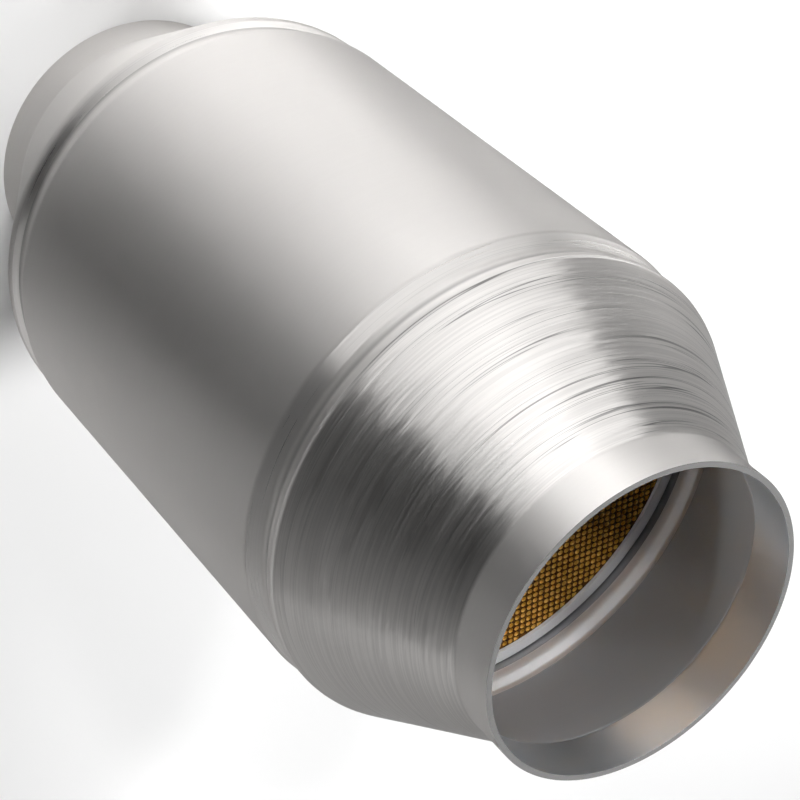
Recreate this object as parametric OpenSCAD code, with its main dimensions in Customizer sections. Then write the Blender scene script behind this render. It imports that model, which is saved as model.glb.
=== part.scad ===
// Round exhaust catalytic converter: a one-piece spun can round a honeycomb brick.
// The can's axis is Z. It stands on the rim of its lower neck, with the other mouth up.

/* [Can] */
// Outside diameter of the body
body_od = 101.6; // [100:0.2:112]
// Length over both mouths
can_len = 201; // [190:1:260]
// Thickness of the sheet
sheet = 1.2; // [1:0.1:1.6]

/* [Necks] */
// Bore of each neck, which the exhaust pipe slides into
neck_bore = 63.5; // [50:0.5:66]
// Length of each neck, from its rim to the foot of the cone
neck_len = 9.5; // [8:0.5:16]
// Radius where the neck turns into the cone, outside
neck_blend = 1.5; // [1:0.25:3]

/* [Cones] */
// Angle between the cone's wall and the axis
cone_angle = 27.4; // [24:0.2:34]
// How far the sharp corner of the shoulder stays inside the body's surface
shoulder_drop = 0.2; // [0:0.05:0.6]
// Radius of the shoulder, outside
shoulder_blend = 3; // [2.5:0.25:4.5]

/* [Rolled beads] */
// Depth of the bead that locks the brick in the body
bead_depth = 1.95; // [1.6:0.05:2.4]
// Slope of the bead on the side of the cone
bead_cone_slope = 26; // [22:1:32]
// Slope of the bead on the side of the body
bead_body_slope = 23.4; // [20:0.2:30]
// Radius at the bottom of the bead, outside
bead_blend = 2.5; // [1.5:0.25:3]
// Radius where the bead runs out into the body, outside
bead_edge_blend = 2.5; // [2:0.25:3.5]

/* [Brick] */
// Width of the mat's gap, from the brick to the can
mat_gap = 3.1; // [2.6:0.1:4]
// Distance between the centres of neighbouring cells
cell_pitch = 4; // [3.6:0.1:8]
// Thickness of the webs between the cells
cell_web = 0.8; // [0.6:0.05:1.2]
// Thickness of the closed skin round the cells
brick_skin = 0.6; // [0.4:0.1:1.2]
// Turn of the grid of cells about the axis
cell_turn = -37.8; // [-45:0.1:45]

/* [End rings and mat] */
// Distance from the bottom of the bead to the end ring's flat face
ring_seat = 3.2; // [3:0.1:4]
// Thickness of the end rings
ring_sheet = 0.8; // [0.5:0.1:1]
// Length of an end ring's sleeve, from its flat face
ring_sleeve = 8; // [5:0.5:15]
// How far an end ring's lip covers the edge of the brick
ring_lip = 0.6; // [0.3:0.1:1]
// Play of the rings in the can, and of the mat round the brick
play = 0.1; // [0.05:0.05:0.2]

/* [Hidden] */
$fn = 128;
arc_steps = 8;

body_r = body_od / 2;
bore_r = neck_bore / 2;
neck_r = bore_r + sheet;
shoulder_r = body_r - shoulder_drop;
bead_r = body_r - bead_depth;
shoulder_z = neck_len + (shoulder_r - neck_r) / tan(cone_angle);
bead_z = shoulder_z + (shoulder_r - bead_r) / tan(bead_cone_slope);
bead_end_z = bead_z + bead_depth / tan(bead_body_slope);

ring_z = bead_z + ring_seat;
ring_r = body_r - sheet - play;
ring_lip_r = body_r - sheet - mat_gap - ring_lip;
brick_r = body_r - sheet - mat_gap;
brick_z = ring_z + ring_sheet;
brick_len = can_len - 2 * brick_z;
cells_r = brick_r - brick_skin;

// Unit vector along v
function unit(v) = v / norm(v);

// Normal of the line from a to b, on its left side
function left(a, b) = let (d = unit(b - a)) [-d.y, d.x];

// Corner b of the line a, b, c, after the line has moved t to its left
function moved_corner(a, b, c, t) =
    let (m = left(a, b), n = left(b, c))
    b + t * (m + n) / (1 + m * n);

// The whole line, moved t to its left
function moved_line(pts, t) =
    let (last = len(pts) - 1)
    [for (i = [0:last])
        i == 0 ? pts[0] + t * left(pts[0], pts[1])
        : i == last ? pts[last] + t * left(pts[last - 1], pts[last])
        : moved_corner(pts[i - 1], pts[i], pts[i + 1], t)];

// Points of an arc of radius r that rounds corner b between a and c
function corner_arc(a, b, c, r) =
    let (u = unit(a - b),
         v = unit(c - b),
         half = acos(u * v) / 2,
         centre = b + unit(u + v) * r / sin(half),
         start = b + u * r / tan(half) - centre,
         turn = sign(cross(b - a, c - b)) * (180 - 2 * half),
         from = atan2(start.y, start.x))
    [for (i = [0:arc_steps]) centre + r * [cos(from + turn * i / arc_steps), sin(from + turn * i / arc_steps)]];

// The line, with corner i rounded to radii[i], and its two ends kept sharp
function rounded_line(pts, radii) =
    [for (i = [0:len(pts) - 1])
        each (i == 0 || i == len(pts) - 1
            ? [pts[i]]
            : corner_arc(pts[i - 1], pts[i], pts[i + 1], radii[i]))];

// Radii of the moved line's corners: a left turn gets tighter, a right turn wider
function moved_radii(pts, radii, t) =
    [for (i = [0:len(pts) - 1])
        i == 0 || i == len(pts) - 1
            ? 0
            : radii[i] - t * sign(cross(pts[i] - pts[i - 1], pts[i + 1] - pts[i]))];

// Ring of sheet metal: the outside line, and the same line moved in by the thickness
module spun_sheet(pts, radii, thickness) {
    rotate_extrude()
        polygon(concat(
            rounded_line(pts, radii),
            reversed(rounded_line(moved_line(pts, thickness), moved_radii(pts, radii, thickness)))));
}

function reversed(list) = [for (i = [len(list) - 1:-1:0]) list[i]];

function mirrored_z(pts) = [for (i = [len(pts) - 1:-1:0]) [pts[i].x, can_len - pts[i].y]];

// Outside of the can's lower half, from the rim to the body
half_line = [
    [neck_r, 0],
    [neck_r, neck_len],
    [shoulder_r, shoulder_z],
    [bead_r, bead_z],
    [body_r, bead_end_z]];
half_radii = [0, neck_blend, shoulder_blend, bead_blend, bead_edge_blend];

// The can: neck, cone, shoulder, bead, body, and the same again upwards
module shell() {
    color([0.74, 0.73, 0.72])
        spun_sheet(
            concat(half_line, mirrored_z(half_line)),
            concat(half_radii, reversed(half_radii)),
            sheet);
}

// Grid of square cells, as far as the brick's skin
module cells() {
    count = ceil(cells_r / cell_pitch);
    opening = cell_pitch - cell_web;
    for (i = [-count:count], j = [-count:count])
        if (norm([i, j]) * cell_pitch < cells_r - opening / 4)
            translate([i, j] * cell_pitch) square(opening, center = true);
}

// The honeycomb brick, with every cell open from end to end
module substrate() {
    color([0.55, 0.40, 0.16])
        translate([0, 0, brick_z])
            rotate(cell_turn)
                linear_extrude(brick_len)
                    difference() {
                        circle(brick_r);
                        intersection() {
                            circle(cells_r);
                            cells();
                        }
                    }
}

// Outside of an end ring: the lip, the slope that seats in the bead, and the sleeve
function ring_line() =
    let (slope = tan(bead_body_slope),
         skew = 1 / cos(bead_body_slope),
         seat_r = bead_r + ring_seat * slope - (sheet + play) * skew)
    [[ring_lip_r, ring_z],
     [seat_r, ring_z],
     [ring_r, ring_z + (ring_r - seat_r) / slope],
     [ring_r, ring_z + ring_sleeve]];

// End ring of the lower end, as pressed from sheet
module end_ring() {
    spun_sheet(ring_line(), [0, ring_sheet * 1.25, ring_sheet * 1.25, 0], ring_sheet);
}

// Outside of the mat: under both sleeves, and out to the can between them
function mat_line() =
    let (inside = moved_line(ring_line(), ring_sheet + play),
         half = [inside[1], inside[2], inside[3], [body_r - sheet - play, inside[3].y + play]])
    concat([[brick_r + play, inside[0].y]], half, mirrored_z(half), [[brick_r + play, can_len - inside[0].y]]);

// The mat wrapped round the brick, which grips it as it swells
module support_mat() {
    color([0.80, 0.79, 0.76])
        rotate_extrude()
            polygon(mat_line());
}

module rear_end_ring() {
    color([0.70, 0.70, 0.70]) end_ring();
}

module front_end_ring() {
    color([0.70, 0.70, 0.70])
        translate([0, 0, can_len])
            mirror([0, 0, 1])
                end_ring();
}

shell();
substrate();
support_mat();
front_end_ring();
rear_end_ring();
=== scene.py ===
import math

import bmesh
import bpy
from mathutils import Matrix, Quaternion, Vector


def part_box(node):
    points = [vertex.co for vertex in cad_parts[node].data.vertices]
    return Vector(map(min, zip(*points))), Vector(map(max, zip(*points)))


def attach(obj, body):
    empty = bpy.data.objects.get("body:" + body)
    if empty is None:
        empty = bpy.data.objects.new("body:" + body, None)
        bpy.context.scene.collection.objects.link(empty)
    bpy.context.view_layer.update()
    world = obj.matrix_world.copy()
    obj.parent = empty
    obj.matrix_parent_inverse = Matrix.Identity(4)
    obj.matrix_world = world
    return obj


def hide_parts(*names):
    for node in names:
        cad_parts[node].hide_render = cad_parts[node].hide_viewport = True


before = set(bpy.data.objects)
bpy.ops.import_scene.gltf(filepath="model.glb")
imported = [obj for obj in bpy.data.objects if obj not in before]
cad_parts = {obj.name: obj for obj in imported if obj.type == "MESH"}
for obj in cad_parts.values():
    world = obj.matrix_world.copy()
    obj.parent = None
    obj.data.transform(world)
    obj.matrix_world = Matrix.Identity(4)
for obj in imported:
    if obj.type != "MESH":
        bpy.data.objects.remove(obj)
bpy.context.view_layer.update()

print("frame loaded, with nodes", sorted(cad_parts))

mm = 0.001
near = 0.01 * mm                      # points closer than this are at the same place
weld = 0.001 * mm
flatFace = 0.9                        # a face with more than this as its normal's z looks up or down
canLow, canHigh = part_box("shell")
canLength = canHigh.z - canLow.z
bodyRadius = (canHigh.x - canLow.x) / 2
brickLow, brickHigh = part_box("substrate")
brickRadius = (brickHigh.x - brickLow.x) / 2


# Camera

photoCamera = {
    "lens": 100,                      # mm
    "sensor": 36,                     # mm
    "place": (0, -0.3149, 0.4287),
    "aim": (0.0002, 0, 0.1203),
    "roll": 132.83,                   # degrees: the photo shows the can lying over
}


def addCamera():
    place, aim = Vector(photoCamera["place"]), Vector(photoCamera["aim"])
    bpy.ops.object.camera_add(location=place)
    cam = bpy.context.object
    cam.name = "photoCamera"
    cam.data.lens = photoCamera["lens"]
    cam.data.sensor_width = photoCamera["sensor"]
    upright = (aim - place).to_track_quat("-Z", "Y")
    cam.rotation_mode = "QUATERNION"
    cam.rotation_quaternion = upright @ Quaternion((0, 0, 1), math.radians(photoCamera["roll"]))
    bpy.context.scene.camera = cam


# Tools for modelling

def deselectAll():
    if bpy.context.object and bpy.context.object.mode != "OBJECT":
        bpy.ops.object.mode_set(mode="OBJECT")
    bpy.ops.object.select_all(action="DESELECT")


def selectInEdit(kind, test):
    bpy.ops.mesh.select_mode(type=kind)
    bpy.ops.mesh.select_all(action="DESELECT")
    mesh = bpy.context.object.data
    bm = bmesh.from_edit_mesh(mesh)
    parts = {"EDGE": bm.edges, "FACE": bm.faces}[kind]
    for part in parts:
        if test(part):
            part.select_set(True)
    bm.select_flush_mode()
    bmesh.update_edit_mesh(mesh)


def radiusOf(point):
    return math.hypot(point.x, point.y)


def roundCorner(stations, index, blend, steps):
    radius, height = stations[index]
    before = (Vector(stations[index - 1]) - Vector(stations[index])).normalized()
    after = (Vector(stations[index + 1]) - Vector(stations[index])).normalized()
    width = blend / math.tan(before.angle(after) / 2)       # from the corner to where the round starts
    selectInEdit("EDGE", lambda e: all(
        abs(v.co.z - height) < near and abs(radiusOf(v.co) - radius) < near for v in e.verts))
    bpy.ops.mesh.bevel(offset=width, segments=steps, profile=0.5, affect="EDGES", clamp_overlap=False)


def drawRings(name, stations, rounds, sides):
    # A circle, extruded and scaled from station to station, then its corners are beveled.
    deselectAll()
    radius, height = stations[0]
    bpy.ops.mesh.primitive_circle_add(vertices=sides, radius=radius, location=(0, 0, height))
    piece = bpy.context.object
    piece.name = name
    bpy.ops.object.transform_apply(location=True)
    bpy.ops.object.mode_set(mode="EDIT")
    bpy.ops.mesh.select_mode(type="VERT")
    bpy.ops.mesh.select_all(action="SELECT")
    for (r0, z0), (r1, z1) in zip(stations, stations[1:]):
        bpy.ops.mesh.extrude_region_move(TRANSFORM_OT_translate={"value": (0, 0, z1 - z0)})
        bpy.ops.transform.resize(value=(r1 / r0, r1 / r0, 1), center_override=(0, 0, z1))
    for index, blend, steps in rounds:
        roundCorner(stations, index, blend, steps)
    bpy.ops.mesh.select_all(action="SELECT")
    bpy.ops.mesh.remove_doubles(threshold=weld)
    bpy.ops.mesh.normals_make_consistent(inside=False)
    bpy.ops.object.mode_set(mode="OBJECT")
    return piece


def fromTheTop(stations):
    return [(radius, canLength - height) for radius, height in stations]


def applyModifier(piece, kind, **values):
    modifier = piece.modifiers.new(kind.lower(), kind)
    for key, value in values.items():
        setattr(modifier, key, value)
    bpy.context.view_layer.objects.active = piece
    bpy.ops.object.modifier_apply(modifier=modifier.name)


def makeSheet(piece, thickness, edge):
    # gives the outside its thickness, inwards, and takes the sharpness off the cut edges
    applyModifier(piece, "SOLIDIFY", thickness=thickness, offset=-1, use_even_offset=True)
    applyModifier(piece, "BEVEL", width=edge, segments=2, limit_method="ANGLE", angle_limit=math.radians(60))


def finishPiece(piece, node, angle=30):
    deselectAll()
    piece.select_set(True)
    bpy.context.view_layer.objects.active = piece
    bpy.ops.object.shade_smooth_by_angle(angle=math.radians(angle))
    applyModifier(piece, "WEIGHTED_NORMAL", keep_sharp=True, weight=100)
    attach(piece, "root")
    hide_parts(node)
    print(piece.name, "made:", len(piece.data.polygons), "faces")


# Tools for materials

def newMaterial(name, color, metallic, roughness, **sockets):
    material = bpy.data.materials.new(name)
    material.use_nodes = True
    tree = material.node_tree
    shader = tree.nodes["Principled BSDF"]
    shader.inputs["Base Color"].default_value = (*color, 1)
    shader.inputs["Metallic"].default_value = metallic
    shader.inputs["Roughness"].default_value = roughness
    for key, value in sockets.items():
        shader.inputs[key.replace("_", " ")].default_value = value
    return material, tree, shader


def newGroup(name, inputs, outputs):
    group = bpy.data.node_groups.new(name, "ShaderNodeTree")
    for socket, kind, value in inputs:
        made = group.interface.new_socket(name=socket, in_out="INPUT", socket_type="NodeSocket" + kind)
        if value is not None:
            made.default_value = value
    for socket, kind in outputs:
        group.interface.new_socket(name=socket, in_out="OUTPUT", socket_type="NodeSocket" + kind)
    return group, group.nodes.new("NodeGroupInput"), group.nodes.new("NodeGroupOutput")


def addNode(tree, kind, values=None, **settings):
    node = tree.nodes.new("ShaderNode" + kind)
    for key, value in settings.items():
        setattr(node, key, value)
    for key, value in (values or {}).items():
        if isinstance(value, bpy.types.NodeSocket):
            tree.links.new(value, node.inputs[key])
        else:
            node.inputs[key].default_value = value
    return node


def addMath(tree, operation, *values):
    return addNode(tree, "Math", dict(enumerate(values)), operation=operation).outputs[0]


def addVectorMath(tree, operation, *values, output="Vector"):
    return addNode(tree, "VectorMath", dict(enumerate(values)), operation=operation).outputs[output]


def mapRange(tree, value, start, end, toStart, toEnd):
    values = {"Value": value, "From Min": start, "From Max": end, "To Min": toStart, "To Max": toEnd}
    return addNode(tree, "MapRange", values).outputs["Result"]


def mixColors(tree, share, color, other):
    values = {"Factor": share, "A": (*color, 1), "B": (*other, 1)}
    return addNode(tree, "Mix", values, data_type="RGBA").outputs["Result"]


def objectPlace(tree):
    return addNode(tree, "TexCoord").outputs["Object"]


# Lines that turning leaves round the can, which several materials share

satinDepth = 0.003 * mm
lines = {
    # kind: how often a line breaks on its way round, how fine it is, its detail
    "satin": (3.0, 1800.0, 2.0),
    "fine": (1.2, 2500.0, 2.0),
    "wide": (0.9, 1700.0, 0.0),
    "scratch": (0.6, 2000.0, 0.0),
    "patch": (1.1, 700.0, 0.0),
    "grain": (1.0, 3000.0, 1.0),
    "streak": (5.0, 1600.0, 2.0),
}


def makeTurnedLines():
    # Noise drawn out round the axis: Around sets how often a line breaks, Along how fine it is.
    inputs = [("Vector", "Vector", None), ("Around", "Float", 2.0), ("Along", "Float", 1500.0),
              ("Detail", "Float", 3.0)]
    group, given, result = newGroup("turnedLines", inputs, [("Lines", "Float")])
    xyz = addNode(group, "SeparateXYZ", {0: given.outputs["Vector"]})
    square = addMath(group, "MULTIPLY", xyz.outputs["X"], xyz.outputs["X"])
    square = addMath(group, "MULTIPLY_ADD", xyz.outputs["Y"], xyz.outputs["Y"], square)
    radius = addMath(group, "SQRT", square)
    stretch = addMath(group, "DIVIDE", given.outputs["Around"], radius)
    x = addMath(group, "MULTIPLY", xyz.outputs["X"], stretch)
    y = addMath(group, "MULTIPLY", xyz.outputs["Y"], stretch)
    z = addMath(group, "MULTIPLY", xyz.outputs["Z"], given.outputs["Along"])
    place = addNode(group, "CombineXYZ", {"X": x, "Y": y, "Z": z}).outputs[0]
    noise = addNode(group, "TexNoise", {"Vector": place, "Scale": 1.0, "Detail": given.outputs["Detail"],
                                        "Roughness": 0.55})
    group.links.new(noise.outputs["Fac"], result.inputs["Lines"])
    return group


turnedLines = makeTurnedLines()


def addLines(tree, kind, place):
    around, along, detail = lines[kind]
    values = {"Vector": place, "Around": around, "Along": along, "Detail": detail}
    return addNode(tree, "Group", values, node_tree=turnedLines).outputs["Lines"]


def makeRaggedNormal():
    # Leans the normal round the axis by streaks, so that a highlight's edge breaks up along the lines.
    inputs = [("Vector", "Vector", None), ("Amount", "Float", 0.05)]
    group, given, result = newGroup("raggedNormal", inputs, [("Normal", "Vector")])
    streak = addLines(group, "streak", given.outputs["Vector"])
    lean = addMath(group, "MULTIPLY", addMath(group, "SUBTRACT", streak, 0.5), given.outputs["Amount"])
    around = addVectorMath(group, "CROSS_PRODUCT", (0, 0, 1), given.outputs["Vector"])
    around = addVectorMath(group, "NORMALIZE", around)
    around = addNode(group, "VectorTransform", {"Vector": around}, vector_type="VECTOR",
                     convert_from="OBJECT", convert_to="WORLD").outputs["Vector"]
    moved = addNode(group, "VectorMath", {0: around, "Scale": lean}, operation="SCALE").outputs["Vector"]
    facing = addNode(group, "NewGeometry").outputs["Normal"]
    normal = addVectorMath(group, "NORMALIZE", addVectorMath(group, "ADD", facing, moved))
    group.links.new(normal, result.inputs["Normal"])
    return group


raggedNormal = makeRaggedNormal()


def addSatinLines(tree, shader, roughness, swing=0.03):
    satin = addLines(tree, "satin", objectPlace(tree))
    uneven = mapRange(tree, satin, 0.3, 0.7, roughness - swing, roughness + swing)
    tree.links.new(uneven, shader.inputs["Roughness"])
    bump = addNode(tree, "Bump", {"Height": satin, "Distance": satinDepth, "Strength": 1.0})
    tree.links.new(bump.outputs[0], shader.inputs["Normal"])


def addTurnedHighlights(tree, shader):
    tangent = addNode(tree, "Tangent", direction_type="RADIAL", axis="Z")
    tree.links.new(tangent.outputs[0], shader.inputs["Tangent"])
    shader.inputs["Anisotropic Rotation"].default_value = 0.25


def makeSmoothSteel(name, finish, **sockets):
    color, metallic, roughness = finish
    material, tree, shader = newMaterial(name, color, metallic, roughness, **sockets)
    addSatinLines(tree, shader, roughness)
    return material, tree, shader


# The can

can = {
    "sheet": 1.2 * mm,
    "neckBore": 63.5 * mm,
    "neckLength": 9.5 * mm,
    "neckBlend": 1.5 * mm,
    "coneAngle": math.radians(27.4),
    "shoulderDrop": 0.2 * mm,
    "shoulderBlend": 3 * mm,
    "beadDepth": 1.95 * mm,
    "beadConeSlope": math.radians(26),
    "beadBodySlope": math.radians(23.4),
    "beadBlend": 2.5 * mm,
    "beadEdgeBlend": 2.5 * mm,
    "rimEdge": 0.12 * mm,
    "sides": 256,
    "blendSteps": 8,
    "color": (0.80, 0.777, 0.757),
    "edgeTint": (0.42, 0.42, 0.42, 1),
    "scratchAndShadeColor": (0.12, 0.12, 0.12),  # of scratches and the fine grain, and of the painted shade in the groove, with the share below
    "satinRoughness": 0.48,
    "satinStretch": 0.9,              # stretches highlights along the axis, as turning does
    # painted shade: how far the groove's colour is darkened towards the dark colour above
    "paintedShadeShare": 0.45,
    "grooveShift": 1.3 * mm,          # from the bead's bottom towards the rim
    "grooveCore": 0.3 * mm,
    "grooveReach": 1.5 * mm,
    "turnedRoughness": 0.34,
    "turnedStretch": 0.6,
    "turnedSwing": 0.05,
    "lineDepth": 0.026 * mm,
    "wideHeight": 0.2,                # of the wide lines and the scratches, where a fine line is 1
    "scratchHeight": -0.25,
    "ragged": 0.18,
    "scratchCore": 0.012,             # how far a noise may be from its middle and still make a scratch
    "scratchReach": 0.038,
    "patchStart": 0.45,               # the noise that gathers the scratches: none below, all above
    "patchEnd": 0.58,
    "scratchShade": 0.72,
    "grainStart": 0.58,               # the noise that makes the fine dark grain: none above, all below
    "grainEnd": 0.40,
    "grainShade": 0.12,
    "fainterLinesSide": (0.82, -0.57, 0),   # the side of the cone where the lines are fainter because it mirrors an even, darker part of the room: there the scratches' colour is painted lighter, and their bumps are weaker
    "fainterLinesStart": 0.35,
    "fainterLinesEnd": 0.85,
    "fainterLinesShare": 0.3,
    "rolledRoughness": 0.32,
    "rolledDepth": 0.25,              # of the bead's lines, where the cone's are 1
    "rolledRise": 0.35,               # the bead's faces with this much upward normal have them
    "shadedRise": -0.2,
    "neckInsideStretch": 0.8,
    "neckMargin": 0.1 * mm,           # how far the neck's and the bead's finishes reach past them
    "beadMargin": 0.4 * mm,
    # color, metallic and roughness of the plainer surfaces
    "inside": ((0.41, 0.43, 0.455), 0.1, 0.55),
    "neckInside": ((0.78, 0.81, 0.84), 0.93, 0.33),
    "beadInside": ((0.89, 0.89, 0.90), 0.7, 0.45),
    # painted shade: a darker copy of beadInside, for the front bead's inner faces that face away from the
    # mouth
    "shaded": ((0.36, 0.36, 0.37), 1.0, 0.36),
    "cutEdge": ((0.095, 0.094, 0.093), 0.1, 0.5),
}
neckRadius = can["neckBore"] / 2 + can["sheet"]
shoulderRadius = bodyRadius - can["shoulderDrop"]
beadRadius = bodyRadius - can["beadDepth"]
shoulderHeight = can["neckLength"] + (shoulderRadius - neckRadius) / math.tan(can["coneAngle"])
beadHeight = shoulderHeight + (shoulderRadius - beadRadius) / math.tan(can["beadConeSlope"])
beadEndHeight = beadHeight + can["beadDepth"] / math.tan(can["beadBodySlope"])


def makeSteel(name, roughness, stretch):
    material, tree, shader = newMaterial(name, can["color"], 1.0, roughness, Anisotropic=stretch,
                                         Specular_Tint=can["edgeTint"])
    addTurnedHighlights(tree, shader)
    return material, tree, shader


def makeSatinSteel():
    material, tree, shader = makeSteel("satinSteel", can["satinRoughness"], can["satinStretch"])
    addSatinLines(tree, shader, can["satinRoughness"], 0.02)

    # painted shade: a soft darker line in the colour, in the groove beside each shoulder, where shade falls
    xyz = addNode(tree, "SeparateXYZ", {0: objectPlace(tree)})
    fromTop = addMath(tree, "SUBTRACT", canLength, xyz.outputs["Z"])
    height = addMath(tree, "MINIMUM", xyz.outputs["Z"], fromTop)
    away = addMath(tree, "SUBTRACT", height, beadHeight - can["grooveShift"])
    away = addMath(tree, "ABSOLUTE", away)
    paintedGrooveShade = mapRange(tree, away, can["grooveCore"], can["grooveReach"], can["paintedShadeShare"], 0.0)
    tree.links.new(mixColors(tree, paintedGrooveShade, can["color"], can["scratchAndShadeColor"]), shader.inputs["Base Color"])
    return material


def scratchMask(tree, place):
    # thin long scratches in clusters, where one noise crosses its middle and another is high
    crossing = addMath(tree, "SUBTRACT", addLines(tree, "scratch", place), 0.5)
    crossing = addMath(tree, "ABSOLUTE", crossing)
    thin = mapRange(tree, crossing, can["scratchCore"], can["scratchReach"], 1.0, 0.0)
    few = mapRange(tree, addLines(tree, "patch", place), can["patchStart"], can["patchEnd"], 0.0, 1.0)
    return addMath(tree, "MULTIPLY", thin, few)


def lineSideMask(tree, place):
    # 1 round most of the cone, and less on the side that mirrors an even, darker part of the room; the
    # fainter scratch colour there is painted light, the weaker bumps are not
    level = addVectorMath(tree, "NORMALIZE", addVectorMath(tree, "MULTIPLY", place, (1, 1, 0)))
    towards = addVectorMath(tree, "DOT_PRODUCT", level, can["fainterLinesSide"], output="Value")
    return mapRange(tree, towards, can["fainterLinesStart"], can["fainterLinesEnd"], 1.0, can["fainterLinesShare"])


def makeTurnedSteel(name, roughness, depth):
    material, tree, shader = makeSteel(name, roughness, can["turnedStretch"])
    place = objectPlace(tree)
    fine = addLines(tree, "fine", place)
    uneven = mapRange(tree, fine, 0.35, 0.65, roughness - can["turnedSwing"], roughness + can["turnedSwing"])
    tree.links.new(uneven, shader.inputs["Roughness"])

    rough = lineSideMask(tree, place)
    # painted light: the scratches' dark colour fades on the side that mirrors the darker part of the room
    scratch = addMath(tree, "MULTIPLY", scratchMask(tree, place), rough)
    dark = addMath(tree, "MULTIPLY", scratch, can["scratchShade"] * depth)
    grain = mapRange(tree, addLines(tree, "grain", place), can["grainStart"], can["grainEnd"],
                     0.0, can["grainShade"] * depth)
    dark = addMath(tree, "MAXIMUM", dark, grain)
    tree.links.new(mixColors(tree, dark, can["color"], can["scratchAndShadeColor"]), shader.inputs["Base Color"])

    ragged = addNode(tree, "Group", {"Vector": place, "Amount": can["ragged"] * depth},
                     node_tree=raggedNormal)
    height = addMath(tree, "MULTIPLY_ADD", addLines(tree, "wide", place), can["wideHeight"], fine)
    height = addMath(tree, "MULTIPLY_ADD", scratch, can["scratchHeight"], height)
    height = addMath(tree, "MULTIPLY", height, rough)
    bump = addNode(tree, "Bump", {"Height": height, "Distance": can["lineDepth"] * depth, "Strength": 1.0,
                                  "Normal": ragged.outputs["Normal"]})
    tree.links.new(bump.outputs[0], shader.inputs["Normal"])
    return material


def makeNeckInside():
    material, tree, shader = makeSmoothSteel("neckInside", can["neckInside"],
                                             Anisotropic=can["neckInsideStretch"])
    addTurnedHighlights(tree, shader)
    return material


def makeCanFinishes():
    return [
        makeSatinSteel(),
        makeTurnedSteel("turnedSteel", can["turnedRoughness"], 1.0),
        makeTurnedSteel("rolledSteel", can["rolledRoughness"], can["rolledDepth"]),
        makeSmoothSteel("insideSteel", can["inside"])[0],
        makeSmoothSteel("cutEdge", can["cutEdge"])[0],
        makeNeckInside(),
        makeSmoothSteel("beadInside", can["beadInside"])[0],
        makeSmoothSteel("shadedSteel", can["shaded"])[0],
    ]


def canFinish(face):
    height = min(face.center.z, canLength - face.center.z)
    front = face.center.z > canLength / 2
    outward = face.normal.x * face.center.x + face.normal.y * face.center.y > 0
    onNeck = height < can["neckLength"] + can["neckMargin"]
    onBead = shoulderHeight - can["beadMargin"] < height < beadEndHeight
    if abs(face.normal.z) > flatFace:
        return "cutEdge"
    if outward and onBead:
        return "satinSteel" if face.normal.z < can["rolledRise"] else "rolledSteel"
    if outward:
        return "turnedSteel" if front and not onNeck and height < beadEndHeight else "satinSteel"
    if onBead:
        # painted shade: on the front bead, inner faces turned away from the mouth get the darker shadedSteel
        return "shadedSteel" if front and face.normal.z < can["shadedRise"] else "beadInside"
    return "neckInside" if onNeck else "insideSteel"


def makeCan():
    half = [
        (neckRadius, 0),
        (neckRadius, can["neckLength"]),
        (shoulderRadius, shoulderHeight),
        (beadRadius, beadHeight),
        (bodyRadius, beadEndHeight),
    ]
    stations = half + fromTheTop(reversed(half))
    last = len(stations) - 1
    blends = [can["neckBlend"], can["shoulderBlend"], can["beadBlend"], can["beadEdgeBlend"]]
    rounds = [(i + 1, blend, can["blendSteps"]) for i, blend in enumerate(blends)]
    rounds += [(last - i, blend, steps) for i, blend, steps in rounds]
    piece = drawRings("spunCan", stations, rounds, can["sides"])
    makeSheet(piece, can["sheet"], can["rimEdge"])
    finishes = makeCanFinishes()
    for material in finishes:
        piece.data.materials.append(material)
    names = [material.name for material in finishes]
    for face in piece.data.polygons:
        face.material_index = names.index(canFinish(face))
    finishPiece(piece, "shell")


# The honeycomb brick

brick = {
    "pitch": 1.4 * mm,
    "web": 0.26 * mm,
    "turn": math.radians(-37.8),
    "skin": 0.25 * mm,
    "sides": 192,
    "inset": 0.05,                    # how far inside the skin a cell's middle lies at least, in pitches
    "whole": 0.85,                    # a cell that the skin leaves less of isn't made round
    "patches": 900.0,                 # scale of the coating's patches
    "roughness": 0.6,
    "specular": 0.1,
    "end": (0.13, 0.055, 0.006),
    "endDark": (0.05, 0.016, 0.002),
    "wall": (0.95, 0.61, 0.165),
    "wallDark": (0.68, 0.40, 0.06),
}


def makeCeramic(name, light, dark):
    material, tree, shader = newMaterial(name, light, 0.0, brick["roughness"],
                                         Specular_IOR_Level=brick["specular"])
    noise = addNode(tree, "TexNoise", {"Vector": objectPlace(tree), "Scale": brick["patches"],
                                       "Detail": 2.0})
    mask = mapRange(tree, noise.outputs["Fac"], 0.35, 0.65, 0.0, 1.0)
    tree.links.new(mixColors(tree, mask, light, dark), shader.inputs["Base Color"])
    return material


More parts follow.
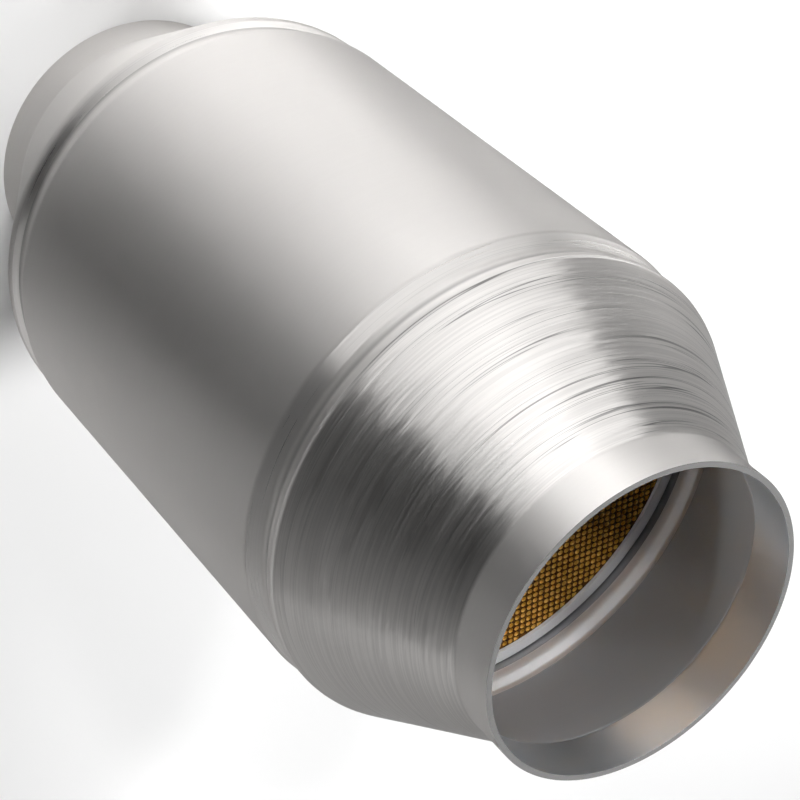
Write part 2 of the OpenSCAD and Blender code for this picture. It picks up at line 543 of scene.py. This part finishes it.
def drawCellGrid():
    # a grid of squares with one for each cell, cut round and closed with a skin
    count = 2 * math.ceil(brickRadius / brick["pitch"]) + 1
    deselectAll()
    bpy.ops.mesh.primitive_grid_add(
        x_subdivisions=count, y_subdivisions=count, size=count * brick["pitch"],
        location=(0, 0, brickHigh.z), rotation=(0, 0, brick["turn"]))
    piece = bpy.context.object
    piece.name = "honeycombBrick"
    bpy.ops.object.transform_apply(location=True, rotation=True)
    bpy.ops.object.mode_set(mode="EDIT")
    cellsRadius = brickRadius - brick["skin"]
    farthest = cellsRadius - brick["inset"] * brick["pitch"]
    selectInEdit("FACE", lambda f: radiusOf(f.calc_center_median()) > farthest)
    bpy.ops.mesh.delete(type="FACE")
    bm = bmesh.from_edit_mesh(piece.data)
    for vert in bm.verts:
        reach = radiusOf(vert.co)
        if reach > cellsRadius:
            vert.co.x *= cellsRadius / reach
            vert.co.y *= cellsRadius / reach
    bmesh.update_edit_mesh(piece.data)
    bpy.ops.mesh.primitive_circle_add(vertices=brick["sides"], radius=brickRadius,
                                      location=(0, 0, brickHigh.z))
    selectInEdit("EDGE", lambda e: e.is_boundary or e.is_wire)
    bpy.ops.mesh.fill()
    return piece


def openCells(piece):
    selectInEdit("FACE", lambda f: len(f.verts) == 4)
    bpy.ops.mesh.inset(thickness=brick["web"] / 2, use_individual=True, use_even_offset=True)

    # each cell gets a middle, and its corners and the middles of its sides go on a circle
    bpy.ops.mesh.subdivide(number_cuts=1)
    bm = bmesh.from_edit_mesh(piece.data)
    cellRadius = (brick["pitch"] - brick["web"]) / 2
    for vert in bm.verts:
        if len(vert.link_faces) != 4 or not all(face.select for face in vert.link_faces):
            continue
        around = {corner for face in vert.link_faces for corner in face.verts if corner is not vert}
        if min((corner.co - vert.co).length for corner in around) < brick["whole"] * cellRadius:
            continue
        for corner in around:
            corner.co = vert.co + (corner.co - vert.co).normalized() * cellRadius
    bmesh.update_edit_mesh(piece.data)
    bpy.ops.mesh.delete(type="FACE")  # only the cells' own faces are still selected


def makeBrick():
    piece = drawCellGrid()
    openCells(piece)
    bpy.ops.mesh.select_all(action="SELECT")
    bpy.ops.mesh.normals_make_consistent(inside=False)
    bpy.ops.object.mode_set(mode="OBJECT")

    # the webs so far are the brick's top face, and the walls go down from it
    up = sum(face.normal.z for face in piece.data.polygons) > 0
    applyModifier(piece, "SOLIDIFY", thickness=brickHigh.z - brickLow.z, offset=-1 if up else 1,
                  use_even_offset=False)
    piece.data.materials.append(makeCeramic("coatedEnds", brick["end"], brick["endDark"]))
    piece.data.materials.append(makeCeramic("coatedWalls", brick["wall"], brick["wallDark"]))
    for face in piece.data.polygons:
        face.material_index = 0 if abs(face.normal.z) > flatFace else 1
    finishPiece(piece, "substrate", 20)


# The end rings

endRing = {
    "seat": 3.2 * mm,
    "sheet": 0.8 * mm,
    "sleeve": 8 * mm,
    "lip": 0.3 * mm,
    "play": 0.1 * mm,
    "seatBend": 0.4 * mm,
    "sleeveBend": 1 * mm,
    "edge": 0.06 * mm,
    "sides": 192,
    "steel": ((0.75, 0.75, 0.755), 0.15, 0.45),             # color, metallic and roughness
}
beadSlope = math.tan(can["beadBodySlope"])
beadSkew = 1 / math.cos(can["beadBodySlope"])


def ringStations():
    face = beadHeight + endRing["seat"]
    seatRadius = beadRadius + endRing["seat"] * beadSlope - (can["sheet"] + endRing["play"]) * beadSkew
    sleeveRadius = bodyRadius - can["sheet"] - endRing["play"]
    return [
        (brickRadius - endRing["lip"], face),
        (seatRadius, face),
        (sleeveRadius, face + (sleeveRadius - seatRadius) / beadSlope),
        (sleeveRadius, face + endRing["sleeve"]),
    ]


def makeRingSteel():
    return makeSmoothSteel("ringSteel", endRing["steel"])[0]


def makeEndRing(name, node, stations, steel):
    rounds = [(1, endRing["seatBend"], 3), (2, endRing["sleeveBend"], 4)]
    piece = drawRings(name, stations, rounds, endRing["sides"])
    makeSheet(piece, endRing["sheet"], endRing["edge"])
    piece.data.materials.append(steel)
    finishPiece(piece, node)


# The mat

mat = {
    "color": (0.72, 0.70, 0.66),
    "roughness": 0.9,
    "fibres": 700.0,                  # scale of the fibres' noise
    "fibreDepth": 0.2 * mm,
}


def matStations():
    # the line of the ring, moved in by its sheet and the play, and on to the can between the rings
    inner = brickRadius + endRing["play"]
    under = endRing["sheet"] + endRing["play"]
    seat, bend, sleeve = ringStations()[1:]
    bottom = seat[1] + under
    seatRadius = seat[0] + under * beadSlope - under * beadSkew
    sleeveRadius = sleeve[0] - under
    half = [
        (inner, bottom),
        (seatRadius, bottom),
        (sleeveRadius, bottom + (sleeveRadius - seatRadius) / beadSlope),
        (sleeveRadius, sleeve[1]),
        (bodyRadius - can["sheet"] - endRing["play"], sleeve[1] + endRing["play"]),
    ]
    return half + fromTheTop(reversed(half)) + half[:1]


def makeMat():
    piece = drawRings("supportMat", matStations(), [], endRing["sides"])
    material, tree, shader = newMaterial("pressedFibre", mat["color"], 0.0, mat["roughness"])
    noise = addNode(tree, "TexNoise", {"Vector": objectPlace(tree), "Scale": mat["fibres"], "Detail": 4.0})
    bump = addNode(tree, "Bump", {"Height": noise.outputs["Fac"], "Distance": mat["fibreDepth"],
                                  "Strength": 1.0})
    tree.links.new(bump.outputs[0], shader.inputs["Normal"])
    piece.data.materials.append(material)
    finishPiece(piece, "support_mat", 20)


# Floor, black card, lamps and world

studio = {
    "floorSize": 6,
    "floorColor": (0.95, 0.95, 0.95),
    "matt": 0.9,                      # roughness of the floor and the card
    "cardAzimuth": 18,                # a black card that the beads mirror
    "cardDistance": 0.19,
    "cardWidth": 0.2,
    "cardHeight": 0.05,
    "cardColor": (0.03, 0.03, 0.03),
    "panels": [
        # name, azimuth from the camera's side, height angle, distance, width, height, brightness, mirrored
        ("frontPanel", -37.5, 14, 0.5, 0.916, 0.27, 1.12, True),
        ("sidePanel", 119, 12, 0.6, 0.66, 0.25, 0.37, True),
        ("keyPanel", -145, 51, 0.65, 0.26, 0.26, 26.0, False),
    ],
    "spots": [
        # name, place, aim, cone in degrees, size, power, mirrored
        ("floorSpot", (-0.132, -0.092, 0.60), (-0.132, -0.092, 0), 25, 0.03, 15.5, True),
        ("sideFloorSpot", (-0.31, 0.10, 0.60), (-0.31, 0.10, 0), 28, 0.03, 18.0, True),
        ("footSpot", (0.01, -0.35, 0.50), (0.01, -0.065, 0), 14, 0.03, 9.5, False),
        ("mouthSpot", (-0.334, -0.261, 0.62), (0.012, 0.010, 0.2), 8.6, 0.08, 31.0, True),
        ("secondSpot", (-0.190, -0.380, 0.62), (0.007, 0.014, 0.2), 8.6, 0.08, 21.0, True),
        ("insideSpot", (0.334, 0.261, 0.62), (-0.005, -0.004, 0.195), 8.5, 0.05, 84.0, False),
        ("fillSpot", (0.516, -0.138, 0.472), (-0.01, 0.005, 0.19), 9.5, 0.18, 105.0, False),
    ],
    "wall": 0.33,                     # brightness of the room at eye level, up to wallTop
    "wallTop": 0.2,
    "ceiling": 0.02,
    "ceilingStart": 0.5,
    "darkAzimuth": 25,                # the dark side of the room, and how far it reaches
    "darkStart": 0.4,
    "darkEnd": 0.98,
    "darkShare": 0.05,
}


def sideways(azimuth):
    # level direction, turned by the azimuth from the camera's side
    turn = math.radians(azimuth)
    return Vector((math.sin(turn), -math.cos(turn), 0))


def addFloor():
    deselectAll()
    bpy.ops.mesh.primitive_plane_add(size=studio["floorSize"])
    floor = bpy.context.object
    floor.name = "floor"
    floor.data.materials.append(newMaterial("paleFloor", studio["floorColor"], 0.0, studio["matt"])[0])


def addBlackCard():
    deselectAll()
    place = sideways(studio["cardAzimuth"]) * studio["cardDistance"]
    place.z = studio["cardHeight"] / 2
    upright = (math.radians(90), 0, math.radians(studio["cardAzimuth"]))
    bpy.ops.mesh.primitive_plane_add(size=1, location=place, rotation=upright)
    card = bpy.context.object
    card.name = "blackCard"
    card.scale = (studio["cardWidth"], studio["cardHeight"], 1)
    bpy.ops.object.transform_apply(location=True, rotation=True, scale=True)
    card.data.materials.append(newMaterial("blackCard", studio["cardColor"], 0.0, studio["matt"])[0])
    card.visible_camera = False       # only the steel sees it, so that it hides nothing in another view
    card.visible_shadow = False
    card.visible_diffuse = False


def addLamp(kind, name, place, aim, power, mirrored):
    bpy.ops.object.light_add(type=kind, location=place)
    lamp = bpy.context.object
    lamp.name = name
    lamp.rotation_mode = "QUATERNION"
    lamp.rotation_quaternion = (aim - place).to_track_quat("-Z", "Y")
    lamp.data.energy = power
    lamp.visible_glossy = mirrored
    return lamp.data


def addLamps():
    middle = Vector((0, 0, canLength / 2))
    for name, azimuth, rise, distance, width, height, brightness, mirrored in studio["panels"]:
        lift = math.radians(rise)
        towards = sideways(azimuth) * math.cos(lift) + Vector((0, 0, math.sin(lift)))
        power = brightness * math.pi * width * height
        lamp = addLamp("AREA", name, middle + towards * distance, middle, power, mirrored)
        lamp.shape = "RECTANGLE"
        lamp.size = width
        lamp.size_y = height
    for name, place, aim, cone, size, power, mirrored in studio["spots"]:
        lamp = addLamp("SPOT", name, Vector(place), Vector(aim), power, mirrored)
        lamp.spot_size = math.radians(cone)
        lamp.spot_blend = 1.0
        lamp.shadow_soft_size = size


def addWorld():
    world = bpy.data.worlds.new("studioWorld")
    bpy.context.scene.world = world
    world.use_nodes = True
    tree = world.node_tree
    place = addNode(tree, "TexCoord").outputs["Generated"]
    xyz = addNode(tree, "SeparateXYZ", {0: place})
    level = mapRange(tree, xyz.outputs["Z"], studio["wallTop"], studio["ceilingStart"],
                     studio["wall"], studio["ceiling"])
    darkSide = addVectorMath(tree, "DOT_PRODUCT", place, sideways(studio["darkAzimuth"]), output="Value")
    shade = mapRange(tree, darkSide, studio["darkStart"], studio["darkEnd"], 1.0, studio["darkShare"])
    background = tree.nodes["Background"]
    background.inputs["Color"].default_value = (1, 1, 1, 1)
    tree.links.new(addMath(tree, "MULTIPLY", level, shade), background.inputs["Strength"])


addCamera()
makeCan()
makeBrick()
ringSteel = makeRingSteel()
makeEndRing("frontEndRing", "front_end_ring", fromTheTop(ringStations()), ringSteel)
makeEndRing("rearEndRing", "rear_end_ring", ringStations(), ringSteel)
makeMat()
addFloor()
addBlackCard()
addLamps()
addWorld()
bpy.context.scene.view_settings.view_transform = "Standard"
print("scene made")
